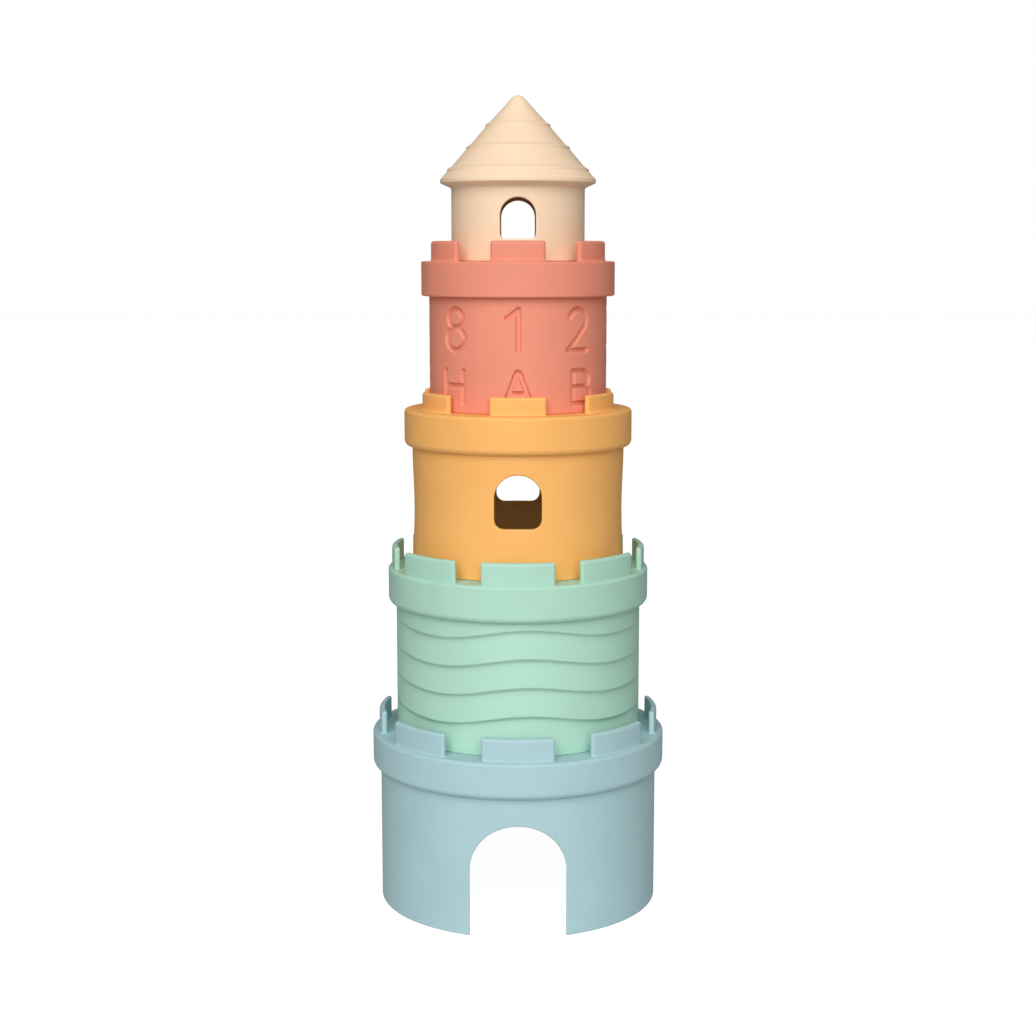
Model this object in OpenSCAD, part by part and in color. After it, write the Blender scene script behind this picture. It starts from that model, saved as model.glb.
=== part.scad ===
// Castle stacking toy: five moulded silicone cups that stack into a tower.
// Each of the lower four ends in a collar band with a ring of merlons, and the next cup stands inside the ring.
// Taken apart, each cup slips over the next smaller one, so the radii are worked out from the base inwards.
// Lengths are in millimetres. The origin is the middle of the base's foot, +Z is up, and the door faces -Y.

/* [All cups] */
// Thickness of a side wall
wall = 2.4; // [1.6:0.1:3.4]
// Thickness of the stage that closes the top of a cup
stage_t = 2.6; // [1.6:0.1:4]
// Radius of the edge round a foot
foot_round = 0.5; // [0.2:0.1:1.2]
// How far a collar band stands out from the body below it
band_out = 2.4; // [2.2:0.1:4]
// Thickness of a merlon
merlon_t = 2; // [1.6:0.1:2.6]
// Radius of a merlon's outer top edge
merlon_round = 1.2; // [0.3:0.1:1.5]

/* [Base] */
// Diameter of the base across its band
base_d = 91.9; // [84:0.1:120]
// Height of the base from its foot to its stage
base_h = 54.3; // [50:0.1:70]
// Height of the base's band
base_band_h = 11.3; // [7:0.1:14]
// Radius of the band's lower edge
base_band_low = 2.1; // [0.3:0.1:2.1]
// Radius of the band's upper edge
base_band_top = 1; // [0.3:0.1:2]
// Side gap to the wave tier when that nests inside
base_nest_gap = 0.55; // [0.4:0.05:2.5]
// Number of merlons
base_merlon_n = 8; // [4:1:12]
// Height of a merlon
base_merlon_h = 7; // [3:0.1:10]
// Gap between the merlons and the wave tier that stands inside them
base_merlon_play = 3.8; // [0.3:0.1:5]
// Share of the way round that the merlons fill
base_merlon_share = 0.65; // [0.3:0.005:0.9]
// Width of the doorway
door_w = 29.1; // [16:0.1:36]
// Height of the doorway to the top of its round arch
door_h = 34.6; // [20:0.1:36]

/* [Wave tier] */
// Height of the wave tier from its foot to its stage
wave_tier_h = 52; // [46:0.1:70]
// Height of the wave tier's band
wave_band_h = 11.3; // [7:0.1:14]
// Radius of the band's lower edge
wave_band_low = 2; // [0.3:0.1:2.1]
// Radius of the band's upper edge
wave_band_top = 0.9; // [0.3:0.1:2]
// Side gap to the window tier when that nests inside
wave_nest_gap = 0.55; // [0.4:0.05:2.5]
// Number of merlons
wave_merlon_n = 8; // [4:1:12]
// Height of a merlon
wave_merlon_h = 6.8; // [3:0.1:10]
// Gap between the merlons and the window tier that stands inside them
wave_merlon_play = 4.7; // [0.3:0.1:5]
// Share of the way round that the merlons fill
wave_merlon_share = 0.73; // [0.3:0.005:0.9]

/* [Waves] */
// Number of wavy channels on each side
channel_n = 4; // [2:1:5]
// Width of a channel
channel_w = 2.6; // [1:0.1:3]
// Depth of a channel straight ahead
channel_depth = 0.7; // [0.3:0.1:1.2]
// Mean height of the lowest channel's upper edge above the foot
channel_low = 10.6; // [7:0.1:14]
// Mean distance of the highest channel's upper edge below the band
channel_high = 4; // [2.5:0.1:8]
// Height of a crest over the mean
wave_rise = 1.7; // [0.5:0.1:2]
// Length of a wave
wave_l = 57; // [25:1:80]
// Distance of the middle crest from straight ahead
wave_shift = 2.9; // [-10:0.1:10]
// Angle from straight ahead at which the channels end
channel_reach = 80; // [40:1:82]

/* [Window tier] */
// Height of the window tier from its foot to its stage
window_tier_h = 49.3; // [46:0.1:70]
// Height of the window tier's band
window_band_h = 11.5; // [7:0.1:13]
// Radius of the band's lower edge
window_band_low = 1.9; // [0.3:0.1:2.1]
// Radius of the band's upper edge
window_band_top = 1.1; // [0.3:0.1:2]
// Side gap to the number tier when that nests inside
window_nest_gap = 0.75; // [0.4:0.05:2.5]
// Number of merlons
window_merlon_n = 6; // [4:1:12]
// Height of a merlon
window_merlon_h = 6.4; // [3:0.1:10]
// Gap between the merlons and the number tier that stands inside them
window_merlon_play = 1.1; // [0.3:0.1:3.5]
// Share of the way round that the merlons fill
window_merlon_share = 0.54; // [0.3:0.005:0.9]
// How far the body draws in at its waist
waist_in = 0.5; // [0:0.1:1]
// Width of the window
window_w = 14.1; // [8:0.1:20]
// Height of the window
window_h = 16.1; // [11.5:0.1:20]
// Height of the window's sill above the foot
window_sill = 15.8; // [8:0.1:17]
// Radius of the window's lower corners
window_corner = 2.8; // [0.5:0.1:3.5]

/* [Number tier] */
// Height of the number tier from its foot to its stage
number_tier_h = 45; // [36:0.1:60]
// Height of the number tier's band
number_band_h = 10.5; // [7:0.1:13]
// Radius of the band's lower edge
number_band_low = 0.6; // [0.3:0.1:2.1]
// Radius of the band's upper edge
number_band_top = 0.5; // [0.3:0.1:2]
// Side gap to the turret's eaves when that nests inside
number_nest_gap = 1.15; // [0.4:0.05:2.5]
// Number of merlons
number_merlon_n = 6; // [4:1:12]
// Height of a merlon
number_merlon_h = 6.1; // [3:0.1:10]
// Gap between the merlons and the turret that stands inside them
number_merlon_play = 4.9; // [0.3:0.1:5]
// Share of the way round that the merlons fill
number_merlon_share = 0.59; // [0.3:0.005:0.9]

/* [Turret] */
// Height of the turret's body from its foot to the eaves
turret_body_h = 22; // [20.5:0.1:34]
// Width of the turret's window
lookout_w = 10.6; // [6:0.1:14]
// Height of the turret's window
lookout_h = 12.1; // [9:0.1:13]
// Height of the turret window's sill above the foot
lookout_sill = 6.7; // [3:0.1:7.5]
// Radius of the turret window's lower corners
lookout_corner = 1.5; // [0.5:0.1:2.5]

/* [Roof] */
// How far the eaves stand out from the body
eave_out = 3.35; // [2.5:0.05:5]
// Rise of the eaves' underside on its way out
eave_rise = 1.5; // [0.5:0.1:2.5]
// Thickness of the eaves at the rim
eave_t = 1.1; // [0.9:0.1:2.5]
// Radius of the rim's edges
eave_round = 0.4; // [0.1:0.05:0.5]
// Radius of the corner between the body and the eaves
eave_fillet = 2; // [0.2:0.1:2.2]
// Height of the roof from the rim to the tip
roof_h = 25.2; // [22:0.1:36]
// Number of lips, where one tier ends over the next
lip_n = 3; // [2:1:4]
// Height of the lowest lip over the rim
lip_up = 3; // [2.5:0.1:4]
// Distance of the lowest lip inside the rim
lip_in = 2.1; // [1.5:0.1:3]
// Radius of the top tier's lip
tip_r = 9.9; // [7:0.1:10.5]
// Height of the tip over the top tier's lip
tip_h = 8.8; // [7:0.1:11]
// Radius of the rounded tip
tip_round = 2.6; // [1:0.1:4]
// Width of the ledge at the foot of a tier
ledge_w = 1.5; // [0.6:0.1:1.8]
// Fall of the ledge on its way out
ledge_fall = 0.95; // [0.3:0.05:1.5]
// Height of the step below a lip
step_h = 1.05; // [0.4:0.05:1.5]
// How far the foot of the step stands out from the lip
step_out = 0.35; // [0:0.05:0.6]
// Radius of a lip
lip_round = 0.4; // [0.1:0.05:0.5]

/* [Hidden] */
$fn = 96;

// Places in the lists below, from the ground up
BASE = 0;
WAVE = 1;
WINDOW = 2;
NUMBER = 3;
TURRET = 4;

cup_h = [base_h, wave_tier_h, window_tier_h, number_tier_h];
band_h = [base_band_h, wave_band_h, window_band_h, number_band_h];
band_low = [base_band_low, wave_band_low, window_band_low, number_band_low];
band_top = [base_band_top, wave_band_top, window_band_top, number_band_top];
nest_gap = [base_nest_gap, wave_nest_gap, window_nest_gap, number_nest_gap];
merlon_n = [base_merlon_n, wave_merlon_n, window_merlon_n, number_merlon_n];
merlon_h = [base_merlon_h, wave_merlon_h, window_merlon_h, number_merlon_h];
merlon_play = [base_merlon_play, wave_merlon_play, window_merlon_play, number_merlon_play];
merlon_share = [base_merlon_share, wave_merlon_share, window_merlon_share, number_merlon_share];

base_colour = "#b0d2d8";
wave_colour = "#b1dcc9";
window_colour = "#feba6b";
number_colour = "#ee977d";
turret_colour = "#fee0bf";

// How far a cut runs past the face that it opens
overrun = 2;
// How deep a merlon is rooted in its band
merlon_root = 1;
// Steps in a rounded corner, in half an arch, up a waist and along a channel
corner_steps = 5;
arch_steps = 24;
waist_steps = 12;
channel_steps = 40;

// Radii of a cup's widest part, of its body and of its hollow, which takes the widest part of the next cup
function widest_r(i) = i == BASE ? base_d / 2 : hollow_r(i - 1) - nest_gap[i - 1];
function body_r(i) = widest_r(i) - (i == TURRET ? eave_out : band_out);
function hollow_r(i) = body_r(i) - wall;

// Height of a cup's foot in the tower, and height of its band over its foot
function foot_z(i) = i == BASE ? 0 : foot_z(i - 1) + cup_h[i - 1];
function band_z(i) = cup_h[i] - band_h[i];

// Merlons stand round the body of the next cup
function merlon_in_r(i) = body_r(i + 1) + merlon_play[i];
function merlon_out_r(i) = merlon_in_r(i) + merlon_t;

function flat(p) = [p[0], p[1]];
function unit(v) = v / norm(v);
function turned(v, a) = [v[0] * cos(a) - v[1] * sin(a), v[0] * sin(a) + v[1] * cos(a)];

// Points that round one corner of a path, where here is [x, y, radius]
function corner(before, here, after) = here[2] == 0 ? [flat(here)] : let (
    back = unit(flat(before) - flat(here)),
    on = unit(flat(after) - flat(here)),
    half = acos(back * on) / 2,
    middle = flat(here) + unit(back + on) * here[2] / sin(half),
    start = flat(here) + back * here[2] / tan(half) - middle,
    turn = sign(cross(on, back)) * (180 - 2 * half)
) [for (k = [0 : corner_steps]) middle + turned(start, turn * k / corner_steps)];

// Points of a closed path given as [x, y, radius of the corner]
function rounded(path) = let (n = len(path)) [
    for (i = [0 : n - 1])
        each corner(path[(i + n - 1) % n], path[i], path[(i + 1) % n])
];

// Half section of a cup without its hollow. The side points lie between the foot and the band.
function cup_section(i, side = []) = rounded(concat(
    [[0, 0, 0], [body_r(i), 0, foot_round]],
    side,
    [
        [body_r(i), band_z(i), 0],
        [widest_r(i), band_z(i), band_low[i]],
        [widest_r(i), cup_h[i], band_top[i]],
        [0, cup_h[i], 0]
    ]
));

// Side points of a body that draws in towards the middle of its height
function waist(i, depth) = [
    for (k = [1 : waist_steps - 1])
        let (s = k / waist_steps)
            [body_r(i) - depth * pow(sin(180 * s), 2), band_z(i) * s, 0]
];

// Outline of an opening with its sill at the origin, a round arch, and lower corners of their own radius
function arch_outline(w, h, lower_round) = concat(
    [
        for (k = [0 : arch_steps])
            let (a = 180 * k / arch_steps)
                [w / 2 * cos(a), h - w / 2 + w / 2 * sin(a)]
    ],
    corner([-w / 2, h], [-w / 2, 0, lower_round], [w / 2, 0]),
    corner([-w / 2, 0], [w / 2, 0, lower_round], [w / 2, h])
);

// Height of the wave at a distance from straight ahead
function wave_z(x) = wave_rise * cos(360 * (x - wave_shift) / wave_l);

// Outline of a wavy channel seen from the front, hanging from the mean height of its upper edge
function channel_outline(half_w) = let (
    xs = [for (k = [0 : channel_steps]) half_w * (2 * k / channel_steps - 1)]
) concat(
    [for (k = [0 : channel_steps]) [xs[k], wave_z(xs[k])]],
    [for (k = [channel_steps : -1 : 0]) [xs[k], wave_z(xs[k]) - channel_w]]
);

// Lips of the roof, counted up from the lowest. The pitch runs through the inner ends of their ledges.
rim_r = widest_r(TURRET);
rim_z = turret_body_h + eave_rise + eave_t;
lip_run = (rim_r - lip_in - tip_r) / (lip_n - 1);
lip_rise = (roof_h - lip_up - tip_h) / (lip_n - 1);
pitch = lip_rise / lip_run;
function lip_r(k) = rim_r - lip_in - k * lip_run;
function lip_z(k) = rim_z + lip_up + k * lip_rise;

// Round tip, met by the top tier's cone
function tip_points() = let (
    cone_r = tip_r - ledge_w,
    middle_up = tip_h - ledge_fall - tip_round,
    from = acos(tip_round / norm([cone_r, middle_up])) - atan2(middle_up, cone_r)
) concat(
    [
        for (k = [0 : corner_steps - 1])
            let (a = from + (90 - from) * k / corner_steps)
                [tip_round * cos(a), rim_z + roof_h - tip_round + tip_round * sin(a)]
    ],
    [[0, rim_z + roof_h]]
);

// Half section of the turret without its hollow
function turret_section() = concat(
    rounded(concat(
        [
            [0, 0, 0],
            [body_r(TURRET), 0, foot_round],
            [body_r(TURRET), turret_body_h, eave_fillet],
            [rim_r, turret_body_h + eave_rise, eave_round],
            [rim_r, rim_z, eave_round]
        ],
        [
            for (k = [0 : lip_n - 1])
                each [
                    [lip_r(k) + step_out, lip_z(k) - step_h, 0],
                    [lip_r(k), lip_z(k), lip_round],
                    [lip_r(k) - ledge_w, lip_z(k) + ledge_fall, 0]
                ]
        ]
    )),
    tip_points()
);

// Half section of the turret's hollow. Under the roof it narrows, one wall inside the pitch.
function turret_hollow_section() = let (
    r = hollow_r(TURRET),
    ledge_end_r = lip_r(0) - ledge_w,
    ledge_end_z = lip_z(0) + ledge_fall,
    bend_z = ledge_end_z + (ledge_end_r - r) * pitch - wall * norm([1, pitch]),
    top_z = bend_z + (r - tip_round) * pitch
) [
    [0, -overrun],
    [r, -overrun],
    [r, bend_z],
    [tip_round, top_z],
    [0, top_z]
];

// Opening that runs right through a piece from front to back
module through_cut(r, sill, w, h, lower_round) {
    translate([0, 0, sill])
        rotate([90, 0, 0])
            linear_extrude(height = 2 * (r + overrun), center = true)
                polygon(arch_outline(w, h, lower_round));
}

// Merlons round the stage, with the middle of one straight ahead
module merlons(i) {
    step = 360 / merlon_n[i];
    width = step * merlon_share[i];
    section = rounded([
        [merlon_in_r(i), cup_h[i] - merlon_root, 0],
        [merlon_out_r(i), cup_h[i] - merlon_root, 0],
        [merlon_out_r(i), cup_h[i] + merlon_h[i], merlon_round],
        [merlon_in_r(i), cup_h[i] + merlon_h[i], 0]
    ]);
    for (k = [0 : merlon_n[i] - 1])
        rotate([0, 0, k * step - 90 - width / 2])
            rotate_extrude(angle = width)
                polygon(section);
}

// Cup with its stage, band and merlons, open at the foot
module cup(i, side = []) {
    difference() {
        union() {
            rotate_extrude()
                polygon(cup_section(i, side));
            merlons(i);
        }
        translate([0, 0, -overrun])
            cylinder(r = hollow_r(i), h = cup_h[i] - stage_t + overrun);
    }
}

// Wavy channels of one side. They are cut straight back, so they run out towards the sides of the cup.
module channels() {
    r = body_r(WAVE);
    step = (band_z(WAVE) - channel_high - channel_low) / (channel_n - 1);
    difference() {
        for (k = [0 : channel_n - 1])
            translate([0, 0, channel_low + k * step])
                rotate([90, 0, 0])
                    linear_extrude(height = r + overrun)
                        polygon(channel_outline(r * sin(channel_reach)));
        translate([0, channel_depth, 0])
            cylinder(r = r, h = cup_h[WAVE]);
    }
}

// Base, with a doorway right through it
module gate_base() {
    color(base_colour)
        difference() {
            cup(BASE);
            through_cut(widest_r(BASE), -door_h, door_w, 2 * door_h, 0);
        }
}

// Second cup, with wavy channels on the front and on the back
module wave_tier() {
    color(wave_colour)
        translate([0, 0, foot_z(WAVE)])
            difference() {
                cup(WAVE);
                channels();
                rotate([0, 0, 180])
                    channels();
            }
}

// Third cup, with a slight waist and a window front and back
module window_tier() {
    color(window_colour)
        translate([0, 0, foot_z(WINDOW)])
            difference() {
                cup(WINDOW, waist(WINDOW, waist_in));
                through_cut(widest_r(WINDOW), window_sill, window_w, window_h, window_corner);
            }
}

// Fourth cup, smooth below its band
module number_tier() {
    color(number_colour)
        translate([0, 0, foot_z(NUMBER)])
            cup(NUMBER);
}

// Turret under a roof of overlapping tiers, with a window front and back
module roof_turret() {
    color(turret_colour)
        translate([0, 0, foot_z(TURRET)])
            difference() {
                rotate_extrude()
                    polygon(turret_section());
                rotate_extrude()
                    polygon(turret_hollow_section());
                through_cut(body_r(TURRET), lookout_sill, lookout_w, lookout_h, lookout_corner);
            }
}

gate_base();
wave_tier();
window_tier();
number_tier();
roof_turret();
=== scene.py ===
# Castle stacking toy: detailed skins for five moulded silicone cups, with their finish, the floor,
# the lights and the camera. Sizes are in millimetres over a cup's foot, and the door faces -Y.
import math

import bmesh
import bpy
import numpy as np
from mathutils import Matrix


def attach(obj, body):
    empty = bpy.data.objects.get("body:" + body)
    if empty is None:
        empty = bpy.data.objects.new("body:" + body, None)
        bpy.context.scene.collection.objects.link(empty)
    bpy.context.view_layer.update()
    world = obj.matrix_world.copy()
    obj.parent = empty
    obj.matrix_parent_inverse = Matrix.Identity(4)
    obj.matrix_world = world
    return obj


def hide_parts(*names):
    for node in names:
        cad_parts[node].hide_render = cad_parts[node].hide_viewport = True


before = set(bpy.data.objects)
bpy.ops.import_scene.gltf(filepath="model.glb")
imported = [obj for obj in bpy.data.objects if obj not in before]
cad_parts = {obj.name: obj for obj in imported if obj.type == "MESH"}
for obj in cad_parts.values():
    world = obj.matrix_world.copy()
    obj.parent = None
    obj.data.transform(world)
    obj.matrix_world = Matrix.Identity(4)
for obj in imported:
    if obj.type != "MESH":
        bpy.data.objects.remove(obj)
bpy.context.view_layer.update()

MM = 0.001

# Walls: thickness of the side and of the stage, then roundings of the foot's outer edge, under a band, in
# the ceiling's corner and round the openings. The foot's inner edge has INNER_FOOT times its outer rounding.
WALL = 2.4
STAGE_T = 2.6
FOOT_ROUND = 0.5
INNER_FOOT = 0.8
BAND_FILLET = 0.25
CEILING_ROUND = 0.8
EDGE = 0.45

# Merlons: thickness, roundings of their top along the outer face, inner face and ends, corners seen from
# above, crease at their foot, and its largest size along the outer face, with the share it takes of the
# stage's flat rim there
MERLON_T = 1.8
MERLON_OUTER = 1.0
MERLON_INNER = 0.5
MERLON_END = 0.6
MERLON_CORNER = 0.8
MERLON_CREASE = 0.25
MERLON_FILLET = 0.8
MERLON_ROOM = 0.65

# Cups: height of the foot in the tower, radii of the body and of the band, height of the stage and of the
# band's underside over the foot, roundings of the band's lower and upper edge, number of merlons, radius of
# their inner faces, their height, and the share of the ring that they fill. Where that share is another at
# the sides and back, it is aft_share.
CUPS = {
    "gate_base": {
        "slot": "silicone_blue", "foot": 0.0, "body": 43.55, "widest": 45.95, "height": 54.3,
        "band": 43.0, "low": 2.1, "high": 1.0, "merlons": 8, "inner": 42.1, "tall": 7.0, "share": 0.65,
    },
    "wave_tier": {
        "slot": "silicone_mint", "foot": 54.3, "body": 38.2, "widest": 40.6, "height": 52.0,
        "band": 40.7, "low": 2.0, "high": 0.9, "merlons": 8, "inner": 37.65, "tall": 6.8, "share": 0.73,
        "aft_share": 0.7,
    },
    "window_tier": {
        "slot": "silicone_yellow", "foot": 106.3, "body": 32.85, "widest": 35.25, "height": 49.3,
        "band": 37.8, "low": 1.9, "high": 1.1, "merlons": 6, "inner": 28.5, "tall": 5.4, "share": 0.55,
    },
    "number_tier": {
        "slot": "silicone_coral", "foot": 155.6, "body": 27.3, "widest": 29.7, "height": 45.0,
        "band": 34.5, "low": 0.6, "high": 0.5, "merlons": 6, "inner": 25.4, "tall": 6.1, "share": 0.59,
    },
}

# Openings
DOOR_W = 29.1
DOOR_H = 34.6
WINDOW_W = 14.1
WINDOW_H = 16.1
WINDOW_SILL = 15.8
WINDOW_CORNER = 2.8
LOOKOUT_W = 10.6
LOOKOUT_H = 12.1
LOOKOUT_SILL = 6.7
LOOKOUT_CORNER = 1.5

# Waist of the window tier
WAIST_IN = 0.5

# Channels of the wave tier: mean heights of their upper edges, depth, how many times deeper they may grow,
# straight back, towards the sides, and degrees from the front between which they run out. Their wave comes
# to rest from WAVE_REACH degrees on, starts at WAVE_FOOT and is full WAVE_GROW above that.
CHANNELS = (10.6, 19.3, 28.0, 36.7)
CHANNEL_DEPTH = 0.95
CHANNEL_SIDE = 1.8
CHANNEL_FADE = (72.0, 84.0)
WAVE_RISE = 1.7
WAVE_L = 57.0
WAVE_SHIFT = 2.9
WAVE_REACH = 80.0
WAVE_FOOT = 1
WAVE_GROW = 6

# Section of a channel, which runs out softly below: height over its upper edge, and share of its depth
CHANNEL_SECTION = (
    (0.35, 0.0), (0.18, 0.04), (0.02, 0.17), (-0.22, 0.43), (-0.5, 0.7), (-0.8, 0.9), (-1.2, 0.99),
    (-1.8, 1.0), (-2.5, 0.94), (-3.4, 0.8), (-4.6, 0.6), (-5.8, 0.4), (-7.0, 0.21), (-7.8, 0.08),
    (-8.3, 0.0),
)

# Turret and roof: radius and upper edge of the rim, rise of the eaves, lips as (radius, height), each with
# an upright riser under it and a ledge that falls outwards over it, and the hollow under the roof, which
# narrows at its slope from the bend up
TURRET_FOOT = 200.6
TURRET_R = 20.4
TURRET_H = 22.0
RIM_R = 23.75
RIM_Z = 24.6
EAVE_RISE = 1.5
EAVE_FILLET = 0.8
EAVE_ROUND = 0.4
LIPS = ((21.65, 27.6), (15.775, 34.3), (9.9, 41.0))
STEP_H = 0.66
LEDGE_W = 1.5
LEDGE_FALL = 0.95
LIP_ROUND = 0.3
TIP_Z = 49.8
TIP_ROUND = 2.6
HOLLOW_BEND = 27.36
HOLLOW_SLOPE = 6.7 / 5.875

# Meshes: one column every 1.25 degrees, and three times as many where the marks are
COLUMNS = 288
FINE = 3

# Finish: colours as they look on a screen, least and most roughness, clouding and grain of the surface with
# the grain's depth in metres, and the light that goes into it, with its reach in metres
COLOURS = {
    "silicone_blue": (174, 207, 212),
    "silicone_mint": (177, 220, 200),
    "silicone_yellow": (254, 187, 106),
    "silicone_coral": (238, 148, 122),
    "silicone_cream": (252, 221, 188),
}
ROUGHNESS = (0.52, 0.6)
CLOUD_SCALE = 55
CLOUD_TINT = (0.965, 1.02)
GRAIN_SCALE = 1400
GRAIN_STRENGTH = 0.12
GRAIN_DEPTH = 0.0001
SILICONE_IOR = 1.41
SUBSURFACE = 0.2
SUBSURFACE_COLOUR = (1, 0.8, 0.6)
SUBSURFACE_REACH = 0.001

# Floor: brightness and shadow tone as the camera sees it, then the tone and the glow that light the object,
# the distances in metres between which the glow runs out, and half the floor's side in metres
FLOOR_WHITE = 0.94
FLOOR_SHADE = 0.25
FLOOR_PALE = 0.3
TABLE_GLOW = 0.22
TABLE_NEAR = 0.2
TABLE_FAR = 0.7
FLOOR_REACH = 6

# Light: grey of the world, then side in metres, watts, place and aim of the soft light
AMBIENT = 0.17
LAMP_SIZE = 3.2
LAMP_POWER = 110
LAMP_PLACE = (-0.19, -2.55, 1.71)
LAMP_AIM = (0, 0, 0.125)

# Camera: lens in millimetres, place in metres, and tilt in degrees up from straight down
CAMERA_LENS = 63.34
CAMERA_PLACE = (0, -0.56521, 0.20340)
CAMERA_TILT = 81.696


# Paths

def unit(v):
    return v / np.linalg.norm(v)


def corner(before, here, after, radius, steps=4):
    """Points that round a corner of a path."""
    before = np.array(before, float)
    here = np.array(here, float)
    after = np.array(after, float)
    back = unit(before - here)
    on = unit(after - here)
    half = math.acos(max(-1.0, min(1.0, float(back @ on)))) / 2
    middle = here + unit(back + on) * radius / math.sin(half)
    start = here + back * radius / math.tan(half) - middle
    turn = math.copysign(math.pi - 2 * half, on[0] * back[1] - on[1] * back[0])
    points = []
    for k in range(steps + 1):
        a = turn * k / steps
        c = math.cos(a)
        s = math.sin(a)
        points.append(middle + (start[0] * c - start[1] * s, start[0] * s + start[1] * c))
    return points


def rounded(path, steps=4):
    """Points of an open path given as (x, y) or (x, y, radius of the corner)."""
    points = []
    for k, here in enumerate(path):
        if len(here) == 3:
            points += corner(path[k - 1][:2], here[:2], path[k + 1][:2], here[2], steps)
        else:
            points.append(np.array(here, float))
    return points


def arc(x, y, rx, ry, start, end, steps=24):
    """Points of an arc, with its angles in degrees."""
    a = np.radians(np.linspace(start, end, steps + 1))
    return [(x + rx * math.cos(t), y + ry * math.sin(t)) for t in a]


def run_of(line):
    """Lengths run along a polyline, up to each of its points."""
    return np.concatenate(([0], np.cumsum(np.linalg.norm(np.diff(line, axis=0), axis=1))))


def along(line, steps):
    """Points at even steps along a polyline."""
    line = np.array(line, float)
    run = run_of(line)
    at = np.linspace(0, run[-1], steps + 1)
    return np.column_stack((np.interp(at, run, line[:, 0]), np.interp(at, run, line[:, 1])))


def section(pieces, cells):
    """Points along joined polylines, with even steps on each and at least two steps to each."""
    lengths = [run_of(np.array(p, float))[-1] for p in pieces]
    steps = [max(2, round(cells * length / sum(lengths))) for length in lengths]
    steps[lengths.index(max(lengths))] += cells - sum(steps)
    parts = [along(p, n)[:-1] for p, n in zip(pieces, steps)]
    return np.vstack(parts + [np.array(pieces[-1][-1:], float)])


def levels(low, high, step):
    """Heights from low to high at about even steps."""
    return [float(z) for z in np.linspace(low, high, max(1, round((high - low) / step)) + 1)]


def smooth(x):
    x = np.clip(x, 0, 1)
    return x * x * (3 - 2 * x)


# Skins

class Skin:
    """Points and faces of one cup."""

    def __init__(self):
        self.points = []
        self.faces = []

    def add(self, points):
        """Adds points and gives their numbers."""
        first = len(self.points)
        self.points.extend(tuple(float(c) for c in p) for p in points)
        return list(range(first, len(self.points)))

    def at(self, numbers):
        return np.array([self.points[n] for n in numbers])

    def ring(self, radius, height, columns=COLUMNS):
        """Adds points round the axis, from the front towards the right."""
        if radius < 1e-9:
            return self.add([(0, 0, height)])
        a = np.arange(columns) * 2 * math.pi / columns
        places = (radius * np.sin(a), -radius * np.cos(a), np.full(columns, height))
        return self.add(np.column_stack(places))

    def rings(self, profile):
        return [self.ring(r, z) for r, z in profile]

    def strip(self, a, b, closed=True):
        """Faces between two chains with as many points."""
        for i in range(len(a) if closed else len(a) - 1):
            j = (i + 1) % len(a)
            self.faces.append((a[i], a[j], b[j], b[i]))

    def strips(self, chains, closed=True):
        for a, b in zip(chains, chains[1:]):
            self.strip(a, b, closed)

    def zip_rings(self, coarse, fine):
        """Faces between a ring and one with several times as many points."""
        n = len(fine) // len(coarse)
        for j, a in enumerate(coarse):
            b = coarse[(j + 1) % len(coarse)]
            back = [fine[(n * j + k) % len(fine)] for k in range(n, -1, -1)]
            self.faces.append((a, b, *back))

    def grid(self, rows, holes=()):
        """Faces between rings, apart from holes given as (first row, last row, middle column, reach)."""
        for i, (low, high) in enumerate(zip(rows, rows[1:])):
            n = max(len(low), len(high))
            for j in range(n):
                if any(a <= i < b and (j - m + w) % n < 2 * w for a, b, m, w in holes):
                    continue
                k = (j + 1) % n
                if len(high) == 1:
                    self.faces.append((low[j], low[k], high[0]))
                elif len(low) == 1:
                    self.faces.append((low[0], high[k], high[j]))
                else:
                    self.faces.append((low[j], low[k], high[k], high[j]))


def around(rows, hole, open_foot=False):
    """Points round a hole: up its left side, along its top, down its right side and back along its foot."""
    first, last, middle, reach = hole
    n = len(rows[first])
    columns = [(middle + k) % n for k in range(-reach, reach + 1)]
    left = [rows[i][columns[0]] for i in range(first, last)]
    top = [rows[last][c] for c in columns]
    right = [rows[i][columns[-1]] for i in range(last - 1, first - 1, -1)]
    foot = [] if open_foot else [rows[first][c] for c in reversed(columns[1:-1])]
    return left + top + right + foot


def outward(points, closed):
    """Unit normals of an outline that runs up on the left, pointing out of it."""
    if closed:
        steps = np.roll(points, -1, axis=0) - points
        before = np.roll(steps, 1, axis=0)
    else:
        steps = np.diff(points, axis=0)
        before = np.vstack((steps[:1], steps))
        steps = np.vstack((steps, steps[-1:]))
    tangent = steps / np.linalg.norm(steps, axis=1)[:, None]
    tangent = tangent + before / np.linalg.norm(before, axis=1)[:, None]
    tangent /= np.linalg.norm(tangent, axis=1)[:, None]
    return np.column_stack((-tangent[:, 1], tangent[:, 0]))


# Openings that run straight through a wall, from the front or from the back

def foot_inset(z, radius):
    """How far a rounded foot lies inside its wall at a height."""
    return radius - np.sqrt(np.maximum(radius ** 2 - np.maximum(radius - z, 0) ** 2, 0))


def wall_chain(skin, facing, flat, surface, foot, depth, inward):
    """Points of a wall at places seen from the front, some way below its surface."""
    u = flat[:, 0]
    z = flat[:, 1]
    plain = surface(z)
    rounded_off = np.sqrt((plain - inward * foot_inset(z, foot)) ** 2 - u ** 2)
    v = (1 - depth / EDGE) * rounded_off + depth / EDGE * np.sqrt(plain ** 2 - u ** 2) - inward * depth
    c = math.cos(facing)
    s = math.sin(facing)
    return skin.add(np.column_stack((c * u + s * v, s * u - c * v, z)))


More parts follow.
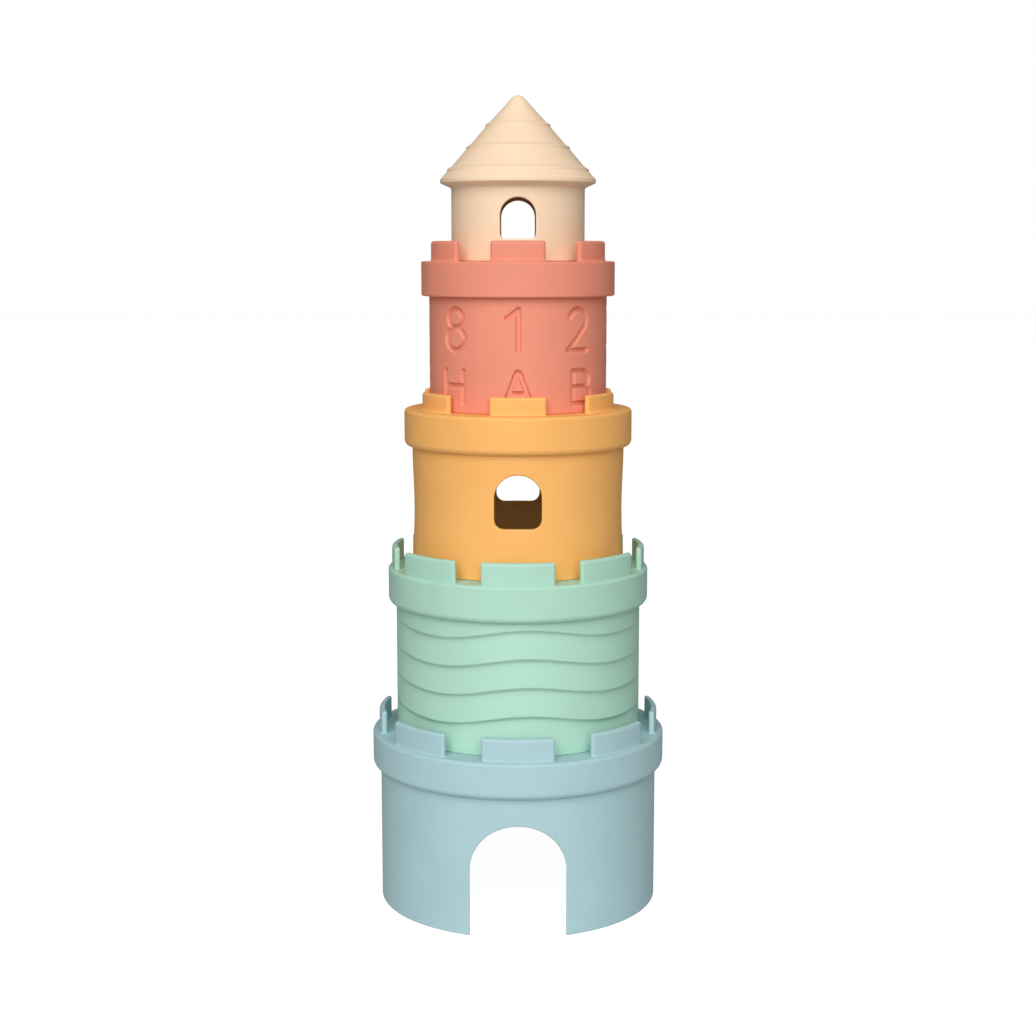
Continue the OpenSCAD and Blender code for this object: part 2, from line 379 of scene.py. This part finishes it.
def half_cut(skin, loop, facing, outline, surface, foot, inward, closed):
    """Chains from the rim of a hole in a wall to the outline of an opening, over its rounded edge."""
    rim = skin.at(loop)
    seen = np.column_stack((math.cos(facing) * rim[:, 0] + math.sin(facing) * rim[:, 1], rim[:, 2]))
    normals = outward(outline, closed)
    chains = [loop]
    for share in (0.35, 0.7):
        flat = seen * (1 - share) + (outline + normals * EDGE) * share
        chains.append(wall_chain(skin, facing, flat, surface, foot, 0, inward))
    for k in range(6):
        a = math.pi / 2 * k / 5
        flat = outline + normals * EDGE * (1 - math.sin(a))
        chains.append(wall_chain(skin, facing, flat, surface, foot, EDGE * (1 - math.cos(a)), inward))
    return chains


def opening(skin, outer, inner, facing, outline, closed=True):
    """Joins the holes in a wall's two faces, each given as (rows, hole, radius at a height, foot radius)."""
    rows, hole, surface, foot = outer
    chains = half_cut(skin, around(rows, hole, not closed), facing, outline, surface, foot, 1, closed)
    rows, hole, surface, foot = inner
    back = half_cut(skin, around(rows, hole, not closed), facing, outline, surface, foot, -1, closed)
    chains += reversed(back)
    skin.strips(chains, closed)
    if not closed:
        skin.faces.append(tuple(chain[0] for chain in chains))
        skin.faces.append(tuple(chain[-1] for chain in chains))


def window_outline(w, h, sill, low, cells_up, cells_across):
    """Outline of a window with a round arch and rounded lower corners."""
    r = w / 2
    top = sill + h - r
    foot = sill + low
    left = [
        arc(low - r, foot, low, low, 225, 180),
        [(-r, foot), (-r, top)],
        arc(0, top, r, r, 180, 135),
    ]
    right = [[(-x, z) for x, z in reversed(piece)] for piece in reversed(left)]
    base = [
        arc(r - low, foot, low, low, -45, -90),
        [(r - low, sill), (low - r, sill)],
        arc(low - r, foot, low, low, -90, -135),
    ]
    return np.vstack((
        section(left, cells_up)[:-1],
        section([arc(0, top, r, r, 135, 45, 48)], cells_across)[:-1],
        section(right, cells_up)[:-1],
        section(base, cells_across)[:-1],
    ))


def door_outline(w, h, heights, cells_up, cells_across):
    """Outline of a doorway, open at the foot, with points at the heights of the rounded foot."""
    r = w / 2
    top = h - r
    rest = cells_up - len(heights) + 1
    left = np.vstack((
        [(-r, z) for z in heights[:-1]],
        section([[(-r, heights[-1]), (-r, top)], arc(0, top, r, r, 180, 135)], rest),
    ))
    right = left[::-1] * (-1, 1)
    return np.vstack((left[:-1], section([arc(0, top, r, r, 135, 45, 48)], cells_across)[:-1], right))


# Merlons

def box_outline(w, h, r, cells_up, cells_across):
    """Outline of a plain block with rounded corners."""
    x = w / 2 - r
    y = h / 2 - r
    left = [
        arc(-x, -y, r, r, 225, 180),
        [(-w / 2, -y), (-w / 2, y)],
        arc(-x, y, r, r, 180, 135),
    ]
    top = [
        arc(-x, y, r, r, 135, 90),
        [(-x, h / 2), (x, h / 2)],
        arc(x, y, r, r, 90, 45),
    ]
    right = [[(-a, -b) for a, b in piece] for piece in left]
    base = [[(-a, -b) for a, b in piece] for piece in top]
    return np.vstack((
        section(left, cells_up)[:-1],
        section(top, cells_across)[:-1],
        section(right, cells_up)[:-1],
        section(base, cells_across)[:-1],
    ))


def merlon_chain(skin, facing, middle_r, flat, heights):
    """Points over the stage at places given as (sideways, towards the axis)."""
    a = facing + flat[:, 0] / middle_r
    r = middle_r - flat[:, 1]
    return skin.add(np.column_stack((r * np.sin(a), -r * np.cos(a), heights)))


def merlon_fillet(cup):
    """Fillet at the foot of a merlon's outer face, as far as the stage's flat rim has room for it."""
    room = cup["widest"] - cup["high"] - cup["inner"] - MERLON_T
    return min(MERLON_FILLET, room * MERLON_ROOM)


def merlon(skin, rows, hole, facing, cup):
    """Block with soft edges that grows out of the stage."""
    middle_r = cup["inner"] + MERLON_T / 2
    share = cup["share"] if math.cos(facing) > 0.1 else cup.get("aft_share", cup["share"])
    width = 2 * math.pi / cup["merlons"] * share * middle_r
    loop = around(rows, hole)
    rim = skin.at(loop)
    turn = np.arctan2(rim[:, 0], -rim[:, 1]) - facing
    turn = (turn + math.pi) % (2 * math.pi) - math.pi
    seen = np.column_stack((turn * middle_r, middle_r - np.hypot(rim[:, 0], rim[:, 1])))
    outline = box_outline(width, MERLON_T, MERLON_CORNER, hole[1] - hole[0], 2 * hole[3])
    normals = outward(outline, True)
    edge = MERLON_END * normals[:, 0] ** 2
    edge += np.where(normals[:, 1] > 0, MERLON_INNER, MERLON_OUTER) * normals[:, 1] ** 2
    foot = MERLON_CREASE * normals[:, 0] ** 2
    foot += np.where(normals[:, 1] > 0, MERLON_CREASE, merlon_fillet(cup)) * normals[:, 1] ** 2
    base = np.full(len(outline), cup["height"])
    chains = [loop]
    flat = (seen + outline + normals * foot[:, None]) / 2
    chains.append(merlon_chain(skin, facing, middle_r, flat, base))
    for k in range(6):
        a = math.pi / 2 * k / 5
        flat = outline + normals * (foot * (1 - math.sin(a)))[:, None]
        chains.append(merlon_chain(skin, facing, middle_r, flat, base + foot * (1 - math.cos(a))))
    for k in range(7):
        a = math.pi / 2 * k / 6
        flat = outline - normals * (edge * (1 - math.cos(a)))[:, None]
        heights = base + cup["tall"] - edge * (1 - math.sin(a))
        chains.append(merlon_chain(skin, facing, middle_r, flat, heights))
    skin.strips(chains)
    skin.faces.append(tuple(chains[-1]))


# Cups

def band_profile(cup):
    """Half section from the band's underside over the stage to the axis, and the merlons' place in it."""
    outer = cup["inner"] + MERLON_T
    flat_r = cup["widest"] - cup["high"]
    shape = rounded([
        (cup["body"], cup["band"] - 3),
        (cup["body"], cup["band"], BAND_FILLET),
        (cup["widest"], cup["band"], cup["low"]),
        (cup["widest"], cup["height"], cup["high"]),
        (0, cup["height"]),
    ], 6)[1:-1]
    room_outside, room_inside = 1.4, 0.8
    first_r = min(flat_r, outer + room_outside)
    last_r = cup["inner"] - room_inside
    if first_r < flat_r - 0.05:
        shape += [(r, cup["height"]) for r in levels(flat_r, first_r, 1.0)[1:]]
    first = len(shape) - 1
    shape += [(r, cup["height"]) for r in np.linspace(first_r, last_r, 11)[1:]]
    last = len(shape) - 1
    shape += [(r, cup["height"]) for r in np.linspace(last_r, 0, 8)[1:]]
    return shape, first, last


def foot_profile(radius, inward):
    """Half section of a rounded foot, from the ring that it stands on up to its wall."""
    size = FOOT_ROUND if inward > 0 else FOOT_ROUND * INNER_FOOT
    a = np.linspace(0, math.pi / 2, 6)
    return [(radius - inward * size * (1 - math.sin(t)), size * (1 - math.cos(t))) for t in a]


def merlon_holes(cup, first, last):
    """Holes in the stage for the merlons, with the middle of one straight ahead."""
    step = COLUMNS // cup["merlons"]
    reach = math.ceil(step * cup["share"] / 2) + 1
    return [(first, last, k * step, reach) for k in range(cup["merlons"])]


def crown(skin, cup, body_rows, shape, first, last):
    """Band, stage and merlons on top of the body's last row."""
    rows = skin.rings(shape)
    holes = merlon_holes(cup, first, last)
    skin.grid([body_rows[-1]] + rows, [(a + 1, b + 1, m, w) for a, b, m, w in holes])
    for hole in holes:
        merlon(skin, rows, hole, 2 * math.pi * hole[2] / COLUMNS, cup)


def ceiling(skin, cup, last_row):
    """Underside of the stage, met by the inner wall in a soft corner."""
    hollow = cup["body"] - WALL
    top = cup["height"] - STAGE_T
    shape = rounded([(hollow, top - 3), (hollow, top, CEILING_ROUND), (0, top)])[1:]
    rows = skin.rings(shape[:-1] + [(hollow * 0.6, top), (hollow * 0.25, top)] + shape[-1:])
    skin.grid([last_row] + rows)


def gate_base(skin, cup):
    """Base with a doorway front and back."""
    hollow = cup["body"] - WALL
    high, row, reach = 38.1, 1.25, 19
    outer_top = [40.5]
    inner_top = [44.0, 48.0]
    heights = levels(FOOT_ROUND, high, row)
    foot = foot_profile(cup["body"], 1)
    outer = foot + [(cup["body"], z) for z in heights[1:] + outer_top]
    inner_foot = foot_profile(hollow, -1)
    inner = inner_foot + [(hollow, z) for z in heights[1:] + inner_top]
    outer_rows = skin.rings(outer)
    inner_rows = skin.rings(inner)
    top = len(foot) + len(heights) - 2
    holes = [(0, top, middle, reach) for middle in (0, COLUMNS // 2)]
    skin.grid(outer_rows, holes)
    skin.grid(inner_rows, holes)
    skin.grid([outer_rows[0], inner_rows[0]], [(0, 1, m, w) for a, b, m, w in holes])
    for hole in holes:
        facing = 2 * math.pi * hole[2] / COLUMNS
        outline = door_outline(DOOR_W, DOOR_H, [z for r, z in foot], top, 2 * reach)
        opening(
            skin,
            (outer_rows, hole, lambda z: cup["body"] + 0 * z, FOOT_ROUND),
            (inner_rows, hole, lambda z: hollow + 0 * z, FOOT_ROUND * INNER_FOOT),
            facing, outline, closed=False,
        )
    crown(skin, cup, outer_rows, *band_profile(cup))
    ceiling(skin, cup, inner_rows[-1])


def wave_row(skin, cup, mean, waving, depth):
    """Points round the wave tier on a line that waves on the front and on the back."""
    a = np.arange(COLUMNS) * 2 * math.pi / COLUMNS
    back = np.cos(a) < -1e-9
    u = cup["body"] * np.sin(a) * np.where(back, -1, 1)
    away = np.degrees(np.arcsin(np.clip(np.abs(u) / cup["body"], 0, 1)))
    calm = 1 - smooth((away - WAVE_REACH) / (90 - WAVE_REACH))
    shallow = 1 - smooth((away - CHANNEL_FADE[0]) / (CHANNEL_FADE[1] - CHANNEL_FADE[0]))
    z = mean + waving * calm * WAVE_RISE * np.cos(2 * math.pi * (u - WAVE_SHIFT) / WAVE_L)
    v = np.sqrt(np.maximum(cup["body"] ** 2 - u ** 2, 0))
    v -= CHANNEL_DEPTH * depth * shallow * np.minimum(cup["body"] / np.maximum(v, 1), CHANNEL_SIDE)
    side = np.where(back, -1, 1)
    return skin.add(np.column_stack((side * u, -side * v, z)))


def wave_tier(skin, cup):
    """Cup with wavy channels on the front and on the back."""
    hollow = cup["body"] - WALL
    plain_below = (1.8, 0.05)
    plain_above = ((38.6, 0.55), (39.9, 0.12))
    foot = skin.rings(foot_profile(cup["body"], 1))
    rows = foot + [wave_row(skin, cup, *plain_below, 0)]
    for upper in CHANNELS:
        for up, share in reversed(CHANNEL_SECTION):
            waving = float(smooth((upper + up - WAVE_FOOT) / WAVE_GROW))
            rows.append(wave_row(skin, cup, upper + up, waving, share))
    for mean, waving in plain_above:
        rows.append(wave_row(skin, cup, mean, waving, 0))
    inner = skin.rings(foot_profile(hollow, -1) + [(hollow, z) for z in levels(6, 46, 8)])
    skin.grid(rows)
    skin.grid(inner)
    skin.grid([rows[0], inner[0]])
    crown(skin, cup, rows, *band_profile(cup))
    ceiling(skin, cup, inner[-1])


def waist_radius(cup, z):
    return cup["body"] - WAIST_IN * np.sin(np.pi * np.clip(z / cup["band"], 0, 1)) ** 2


def window_tier(skin, cup):
    """Cup with a slight waist and a window front and back."""
    hollow = cup["body"] - WALL
    low, high, reach = 13.2, 34.2, 14
    row, row_below = 1.0, 1.8
    outer_top = [36.0]
    inner_top = [39.0, 43.5]
    heights = levels(low, high, row)
    below = levels(FOOT_ROUND, low, row_below)[1:-1]
    foot = foot_profile(cup["body"], 1)
    outer = foot + [(float(waist_radius(cup, z)), z) for z in below + heights + outer_top]
    inner_foot = foot_profile(hollow, -1)
    inner = inner_foot + [(hollow, z) for z in below + heights + inner_top]
    outer_rows = skin.rings(outer)
    inner_rows = skin.rings(inner)
    first = len(foot) + len(below)
    last = first + len(heights) - 1
    holes = [(first, last, middle, reach) for middle in (0, COLUMNS // 2)]
    skin.grid(outer_rows, holes)
    skin.grid(inner_rows, holes)
    skin.grid([outer_rows[0], inner_rows[0]])
    for hole in holes:
        outline = window_outline(WINDOW_W, WINDOW_H, WINDOW_SILL, WINDOW_CORNER, last - first, 2 * reach)
        opening(
            skin,
            (outer_rows, hole, lambda z: waist_radius(cup, z), 0.001),
            (inner_rows, hole, lambda z: hollow + 0 * z, 0.001),
            2 * math.pi * hole[2] / COLUMNS, outline,
        )
    crown(skin, cup, outer_rows, *band_profile(cup))
    ceiling(skin, cup, inner_rows[-1])


# Marks of the number tier: plain strokes, given by their middle lines

STROKE_W = 1.4
STROKE_DEPTH = 1.1
STROKE_SOFT = 0.3
DIGIT_Z = 18.8
LETTER_Z = 3.0

DIGITS = {
    "1": [[(-2.6, 9.5), (0.9, 12.2), (0.9, 0)]],
    "2": [arc(0.2, 9.0, 3.3, 3.2, 165, -38) + [(-3.7, 0), (3.7, 0)]],
    "3": [arc(0, 9.1, 3.0, 3.1, 150, -90), arc(0, 3.0, 3.5, 3.0, 90, -150)],
    "4": [[(2.0, 0), (2.0, 12.2), (-3.6, 3.6), (3.8, 3.6)]],
    "5": [[(3.0, 12.2), (-2.2, 12.2), (-2.7, 6.4)] + arc(0.1, 3.9, 3.5, 3.9, 140, -145)],
    "6": [arc(0, 3.8, 3.5, 3.8, 0, 360, 40), arc(3.2, 3.9, 6.7, 8.4, 180, 105)],
    "7": [[(-3.5, 12.2), (3.5, 12.2), (-1.4, 0)]],
    "8": [arc(0, 9.45, 2.9, 2.75, 0, 360, 40), arc(0, 3.35, 3.65, 3.35, 0, 360, 40)],
}
DIGIT_TURNS = {"1": -1.6, "2": 40.8, "3": 86, "4": 131, "5": 176, "6": 221, "7": 267, "8": 316.6}

LETTERS = {
    "A": [[(-4.0, 0), (-0.5, 9.3), (0, 9.6), (0.5, 9.3), (4.0, 0)], [(-2.7, 3.2), (2.7, 3.2)]],
    "B": [
        [(-3.5, 4.9), (1.25, 4.9)] + arc(1.25, 2.45, 2.45, 2.45, 90, -90) + [(-3.5, 0), (-3.5, 9.6)]
        + arc(0.85, 7.25, 2.35, 2.35, 90, -90),
    ],
    "C": [arc(0.3, 4.8, 4.0, 4.8, 50, 310)],
    "D": [[(-3.5, 0), (-3.5, 9.6)] + arc(-0.6, 4.8, 4.2, 4.8, 90, -90) + [(-3.5, 0)]],
    "E": [[(3.0, 9.6), (-3.0, 9.6), (-3.0, 0), (3.0, 0)], [(-3.0, 5.0), (2.4, 5.0)]],
    "F": [[(3.0, 9.6), (-2.9, 9.6), (-2.9, 0)], [(-2.9, 5.0), (2.3, 5.0)]],
    "G": [arc(0.2, 4.8, 4.0, 4.8, 50, 355) + [(0.9, 4.4)]],
    "H": [[(-3.7, 0), (-3.7, 9.6)], [(3.7, 0), (3.7, 9.6)], [(-3.7, 5.2), (3.7, 5.2)]],
}
LETTER_TURNS = {"A": 0, "B": 44.1, "C": 89, "D": 134, "E": 179, "F": 224, "G": 270, "H": 315.5}


def stroke_distance(x, z, strokes):
    """Distance of places from the middle lines of strokes."""
    best = np.full(np.broadcast(x, z).shape, 1e9)
    for stroke in strokes:
        line = np.array(stroke, float)
        for a, b in zip(line, line[1:]):
            run = b - a
            t = np.clip(((x - a[0]) * run[0] + (z - a[1]) * run[1]) / (run @ run), 0, 1)
            best = np.minimum(best, np.hypot(x - a[0] - t * run[0], z - a[1] - t * run[1]))
    return best


def pressed(cup, angles, heights):
    """Depth of the marks over a grid of angles and heights."""
    depth = np.zeros((len(heights), len(angles)))
    for marks, turns, base in ((DIGITS, DIGIT_TURNS, DIGIT_Z), (LETTERS, LETTER_TURNS, LETTER_Z)):
        rows = np.nonzero((heights > base - 2) & (heights < base + 15))[0]
        for mark, strokes in marks.items():
            turn = np.degrees(angles) - turns[mark]
            turn = (turn + 180) % 360 - 180
            columns = np.nonzero(np.abs(turn) < 15)[0]
            x = np.radians(turn[columns])[None, :] * cup["body"]
            z = heights[rows][:, None] - base
            away = stroke_distance(x, z, strokes)
            groove = smooth((STROKE_W / 2 + STROKE_SOFT / 2 - away) / STROKE_SOFT)
            cells = np.ix_(rows, columns)
            depth[cells] = np.maximum(depth[cells], groove * STROKE_DEPTH)
    return depth


def number_tier(skin, cup):
    """Cup with digits over letters pressed into its side."""
    hollow = cup["body"] - WALL
    foot = skin.rings(foot_profile(cup["body"], 1))
    count = COLUMNS * FINE
    angles = np.arange(count) * 2 * math.pi / count
    low, high, row, plain_top = 0.6, 32.2, 0.19, 32.6
    heights = np.array(levels(low, high, row))
    radii = cup["body"] - pressed(cup, angles, heights)
    rows = []
    for z, r in zip(heights, radii):
        rows.append(skin.add(np.column_stack((r * np.sin(angles), -r * np.cos(angles), np.full(count, z)))))
    top = skin.ring(cup["body"], plain_top)
    inner = skin.rings(foot_profile(hollow, -1) + [(hollow, z) for z in levels(5, 39, 8)])
    skin.grid(foot)
    skin.zip_rings(foot[-1], rows[0])
    skin.grid(rows)
    skin.zip_rings(top, rows[-1])
    skin.grid(inner)
    skin.grid([foot[0], inner[0]])
    crown(skin, cup, [top], *band_profile(cup))
    ceiling(skin, cup, inner[-1])


# Turret

def roof_profile():
    """Half section of the eaves and the roof, from under the eaves to the tip."""
    path = [
        (TURRET_R, TURRET_H - 3),
        (TURRET_R, TURRET_H, EAVE_FILLET),
        (RIM_R, TURRET_H + EAVE_RISE, EAVE_ROUND),
        (RIM_R, RIM_Z, EAVE_ROUND),
    ]
    for r, z in LIPS:
        path += [
            (r, z - STEP_H, 0.15),
            (r, z, LIP_ROUND),
            (r - LEDGE_W, z + LEDGE_FALL, 0.3),
        ]
    cone_r = LIPS[-1][0] - LEDGE_W
    cone_z = LIPS[-1][1] + LEDGE_FALL
    up = TIP_Z - TIP_ROUND - cone_z
    start = math.acos(TIP_ROUND / math.hypot(cone_r, up)) - math.atan2(up, cone_r)
    tip = []
    for k in range(9):
        a = start + (math.pi / 2 - start) * k / 8
        tip.append((TIP_ROUND * math.cos(a), TIP_Z - TIP_ROUND + TIP_ROUND * math.sin(a)))
    tip[-1] = (0, TIP_Z)
    return rounded(path + [tip[0]], 5)[1:-1] + tip


def roof_turret(skin, cup):
    """Turret with a window front and back under a roof of overlapping tiers."""
    hollow = TURRET_R - WALL
    low, high, reach = 4.6, 20.5, 17
    row, row_below = 0.8, 1.4
    inner_top = [24.0, HOLLOW_BEND]
    heights = levels(low, high, row)
    below = levels(FOOT_ROUND, low, row_below)[1:-1]
    foot = foot_profile(TURRET_R, 1)
    outer_rows = skin.rings(foot + [(TURRET_R, z) for z in below + heights])
    inner_foot = foot_profile(hollow, -1)
    inner_shape = [(hollow, z) for z in below + heights + inner_top]
    for t in (0.33, 0.66, 1):
        r = hollow + (TIP_ROUND - hollow) * t
        inner_shape.append((r, HOLLOW_BEND + (hollow - TIP_ROUND) * t * HOLLOW_SLOPE))
    inner_shape.append((0, inner_shape[-1][1]))
    inner_rows = skin.rings(inner_foot + inner_shape)
    first = len(foot) + len(below)
    last = first + len(heights) - 1
    holes = [(first, last, middle, reach) for middle in (0, COLUMNS // 2)]
    roof_rows = skin.rings(roof_profile())
    skin.grid(outer_rows + roof_rows, holes)
    skin.grid(inner_rows, holes)
    skin.grid([outer_rows[0], inner_rows[0]])
    for hole in holes:
        outline = window_outline(
            LOOKOUT_W, LOOKOUT_H, LOOKOUT_SILL, LOOKOUT_CORNER, last - first, 2 * reach,
        )
        opening(
            skin,
            (outer_rows, hole, lambda z: TURRET_R + 0 * z, 0.001),
            (inner_rows, hole, lambda z: hollow + 0 * z, 0.001),
            2 * math.pi * hole[2] / COLUMNS, outline,
        )


# Finishes

def linear(colour):
    """Linear values of a colour given as it looks on a screen, from 0 to 255."""
    parts = [c / 255 for c in colour]
    return [c / 12.92 if c <= 0.04045 else ((c + 0.055) / 1.055) ** 2.4 for c in parts]


def silicone(name, colour, seed):
    """Matte moulded silicone: faint clouding of the colour, a fine skin and a soft gloss."""
    material = bpy.data.materials.new(name)
    material.use_nodes = True
    nodes = material.node_tree.nodes
    links = material.node_tree.links
    shader = nodes["Principled BSDF"]
    place = nodes.new("ShaderNodeTexCoord")
    cloud = nodes.new("ShaderNodeTexNoise")
    cloud.noise_dimensions = "4D"
    cloud.inputs["W"].default_value = seed
    cloud.inputs["Scale"].default_value = CLOUD_SCALE
    cloud.inputs["Detail"].default_value = 3
    links.new(place.outputs["Object"], cloud.inputs["Vector"])
    tint = nodes.new("ShaderNodeValToRGB")
    base = linear(colour)
    tint.color_ramp.elements[0].position = 0.3
    tint.color_ramp.elements[0].color = [c * CLOUD_TINT[0] for c in base] + [1]
    tint.color_ramp.elements[1].position = 0.7
    tint.color_ramp.elements[1].color = [min(1, c * CLOUD_TINT[1]) for c in base] + [1]
    links.new(cloud.outputs["Fac"], tint.inputs["Fac"])
    links.new(tint.outputs["Color"], shader.inputs["Base Color"])
    gloss = nodes.new("ShaderNodeMapRange")
    gloss.inputs["From Min"].default_value = 0.3
    gloss.inputs["From Max"].default_value = 0.7
    gloss.inputs["To Min"].default_value = ROUGHNESS[0]
    gloss.inputs["To Max"].default_value = ROUGHNESS[1]
    links.new(cloud.outputs["Fac"], gloss.inputs["Value"])
    links.new(gloss.outputs["Result"], shader.inputs["Roughness"])
    grain = nodes.new("ShaderNodeTexNoise")
    grain.inputs["Scale"].default_value = GRAIN_SCALE
    grain.inputs["Detail"].default_value = 2
    links.new(place.outputs["Object"], grain.inputs["Vector"])
    bump = nodes.new("ShaderNodeBump")
    bump.inputs["Strength"].default_value = GRAIN_STRENGTH
    bump.inputs["Distance"].default_value = GRAIN_DEPTH
    links.new(grain.outputs["Fac"], bump.inputs["Height"])
    links.new(bump.outputs["Normal"], shader.inputs["Normal"])
    shader.inputs["IOR"].default_value = SILICONE_IOR
    shader.inputs["Subsurface Weight"].default_value = SUBSURFACE
    shader.inputs["Subsurface Radius"].default_value = SUBSURFACE_COLOUR
    shader.inputs["Subsurface Scale"].default_value = SUBSURFACE_REACH
    return material


def build(name, maker, cup, body, foot, finish):
    """One cup as a mesh with its finish, riding on its body in place of its node."""
    skin = Skin()
    maker(skin, cup)
    points = np.array(skin.points) + (0, 0, foot)
    mesh = bpy.data.meshes.new(name)
    mesh.from_pydata((points * MM).tolist(), [], skin.faces)
    work = bmesh.new()
    work.from_mesh(mesh)
    bmesh.ops.recalc_face_normals(work, faces=work.faces)
    work.to_mesh(mesh)
    work.free()
    mesh.shade_smooth()
    mesh.materials.append(finish)
    piece = bpy.data.objects.new(name, mesh)
    bpy.context.scene.collection.objects.link(piece)
    even = piece.modifiers.new("even_normals", "WEIGHTED_NORMAL")
    even.mode = "FACE_AREA"
    even.weight = 60
    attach(piece, body)
    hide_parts(body)


finishes = {slot: silicone(slot, colour, k) for k, (slot, colour) in enumerate(COLOURS.items())}
makers = {
    "gate_base": gate_base,
    "wave_tier": wave_tier,
    "window_tier": window_tier,
    "number_tier": number_tier,
}
for node, maker in makers.items():
    cup = CUPS[node]
    build(node + "_skin", maker, cup, node, cup["foot"], finishes[cup["slot"]])
build(
    "roof_turret_skin", roof_turret, None, "roof_turret", TURRET_FOOT,
    finishes["silicone_cream"],
)


# Floor, light and camera

def floor_material():
    """Pale floor that reads as white, keeps a faint shadow and throws light back up round the object."""
    material = bpy.data.materials.new("floor_white")
    material.use_nodes = True
    nodes = material.node_tree.nodes
    links = material.node_tree.links
    nodes.clear()
    out = nodes.new("ShaderNodeOutputMaterial")
    path = nodes.new("ShaderNodeLightPath")
    seen = nodes.new("ShaderNodeAddShader")
    white = nodes.new("ShaderNodeEmission")
    white.inputs["Strength"].default_value = FLOOR_WHITE
    faint = nodes.new("ShaderNodeBsdfDiffuse")
    faint.inputs["Color"].default_value = (FLOOR_SHADE, FLOOR_SHADE, FLOOR_SHADE, 1)
    links.new(white.outputs["Emission"], seen.inputs[0])
    links.new(faint.outputs["BSDF"], seen.inputs[1])
    place = nodes.new("ShaderNodeTexCoord")
    away = nodes.new("ShaderNodeVectorMath")
    away.operation = "LENGTH"
    links.new(place.outputs["Object"], away.inputs[0])
    fall = nodes.new("ShaderNodeMapRange")
    fall.interpolation_type = "SMOOTHSTEP"
    fall.inputs["From Min"].default_value = TABLE_NEAR
    fall.inputs["From Max"].default_value = TABLE_FAR
    fall.inputs["To Min"].default_value = TABLE_GLOW
    fall.inputs["To Max"].default_value = 0
    links.new(away.outputs["Value"], fall.inputs["Value"])
    glow = nodes.new("ShaderNodeEmission")
    links.new(fall.outputs["Result"], glow.inputs["Strength"])
    pale = nodes.new("ShaderNodeBsdfDiffuse")
    pale.inputs["Color"].default_value = (FLOOR_PALE, FLOOR_PALE, FLOOR_PALE, 1)
    bounce = nodes.new("ShaderNodeAddShader")
    links.new(glow.outputs["Emission"], bounce.inputs[0])
    links.new(pale.outputs["BSDF"], bounce.inputs[1])
    mix = nodes.new("ShaderNodeMixShader")
    links.new(path.outputs["Is Camera Ray"], mix.inputs["Fac"])
    links.new(bounce.outputs["Shader"], mix.inputs[1])
    links.new(seen.outputs["Shader"], mix.inputs[2])
    links.new(mix.outputs["Shader"], out.inputs["Surface"])
    return material


floor_corners = [(x * FLOOR_REACH, y * FLOOR_REACH, 0) for x, y in ((-1, -1), (1, -1), (1, 1), (-1, 1))]
floor_mesh = bpy.data.meshes.new("floor")
floor_mesh.from_pydata(floor_corners, [], [(0, 1, 2, 3)])
floor_mesh.materials.append(floor_material())
floor = bpy.data.objects.new("floor", floor_mesh)
bpy.context.scene.collection.objects.link(floor)

world = bpy.data.worlds.new("studio")
world.use_nodes = True
nodes = world.node_tree.nodes
links = world.node_tree.links
nodes.clear()
out = nodes.new("ShaderNodeOutputWorld")
path = nodes.new("ShaderNodeLightPath")
grey = nodes.new("ShaderNodeBackground")
grey.inputs["Color"].default_value = (AMBIENT, AMBIENT, AMBIENT, 1)
white = nodes.new("ShaderNodeBackground")
white.inputs["Color"].default_value = (1, 1, 1, 1)
mix = nodes.new("ShaderNodeMixShader")
links.new(path.outputs["Is Camera Ray"], mix.inputs["Fac"])
links.new(grey.outputs["Background"], mix.inputs[1])
links.new(white.outputs["Background"], mix.inputs[2])
links.new(mix.outputs["Shader"], out.inputs["Surface"])
bpy.context.scene.world = world


def lamp(name, size, power, place, target):
    """Square soft light that looks at a point."""
    data = bpy.data.lights.new(name, "AREA")
    data.size = size
    data.energy = power
    item = bpy.data.objects.new(name, data)
    item.location = place
    away = np.array(place) - np.array(target)
    flat = math.hypot(away[0], away[1])
    item.rotation_euler = (math.atan2(flat, away[2]), 0, math.atan2(away[0], -away[1]))
    bpy.context.scene.collection.objects.link(item)


lamp("front_light", LAMP_SIZE, LAMP_POWER, LAMP_PLACE, LAMP_AIM)

camera_data = bpy.data.cameras.new("camera")
camera_data.lens = CAMERA_LENS
camera_data.sensor_width = 36
camera_data.clip_start = 0.01
camera_data.clip_end = 50
camera = bpy.data.objects.new("camera", camera_data)
camera.location = CAMERA_PLACE
camera.rotation_euler = (math.radians(CAMERA_TILT), 0, 0)
bpy.context.scene.collection.objects.link(camera)
bpy.context.scene.camera = camera
bpy.context.scene.view_settings.view_transform = "Standard"
